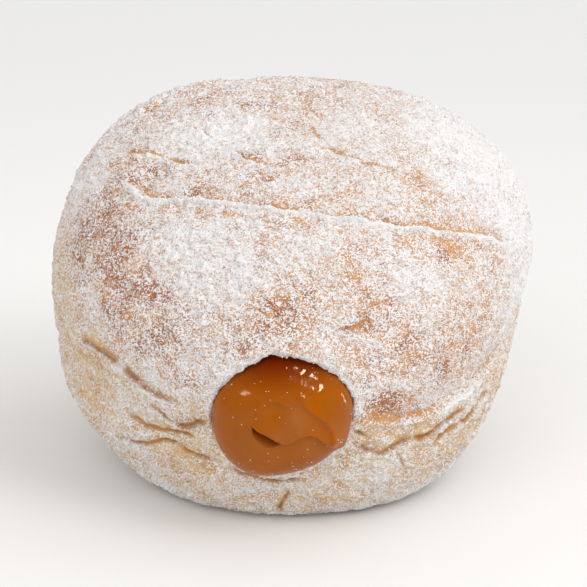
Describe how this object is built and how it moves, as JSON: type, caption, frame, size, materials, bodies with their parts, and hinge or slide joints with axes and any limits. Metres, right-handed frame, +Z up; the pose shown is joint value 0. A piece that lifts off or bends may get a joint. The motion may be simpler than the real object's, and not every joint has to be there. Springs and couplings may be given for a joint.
{
  "type": "filled doughnut",
  "caption": "Plump sugar-dusted filled doughnut with a wrinkled waist and a folded top, its soft filling bulging from an opening in its side.",
  "frame": {"origin": "middle of the bounding box on the surface that the doughnut rests on", "axes": "+Z up, -Y out of the opening that shows the filling, +X to the right of someone looking into the opening"},
  "size_m": [0.0881, 0.0925, 0.0681],
  "materials": {
    "sugared_crust": "fried dough, golden brown and cream, thickly dusted with fine white sugar",
    "caramel": "smooth glossy amber caramel cream"
  },
  "bodies": {
    "root": {"dough": "sugared_crust", "filling": "caramel"}
  },
  "joints": []
}
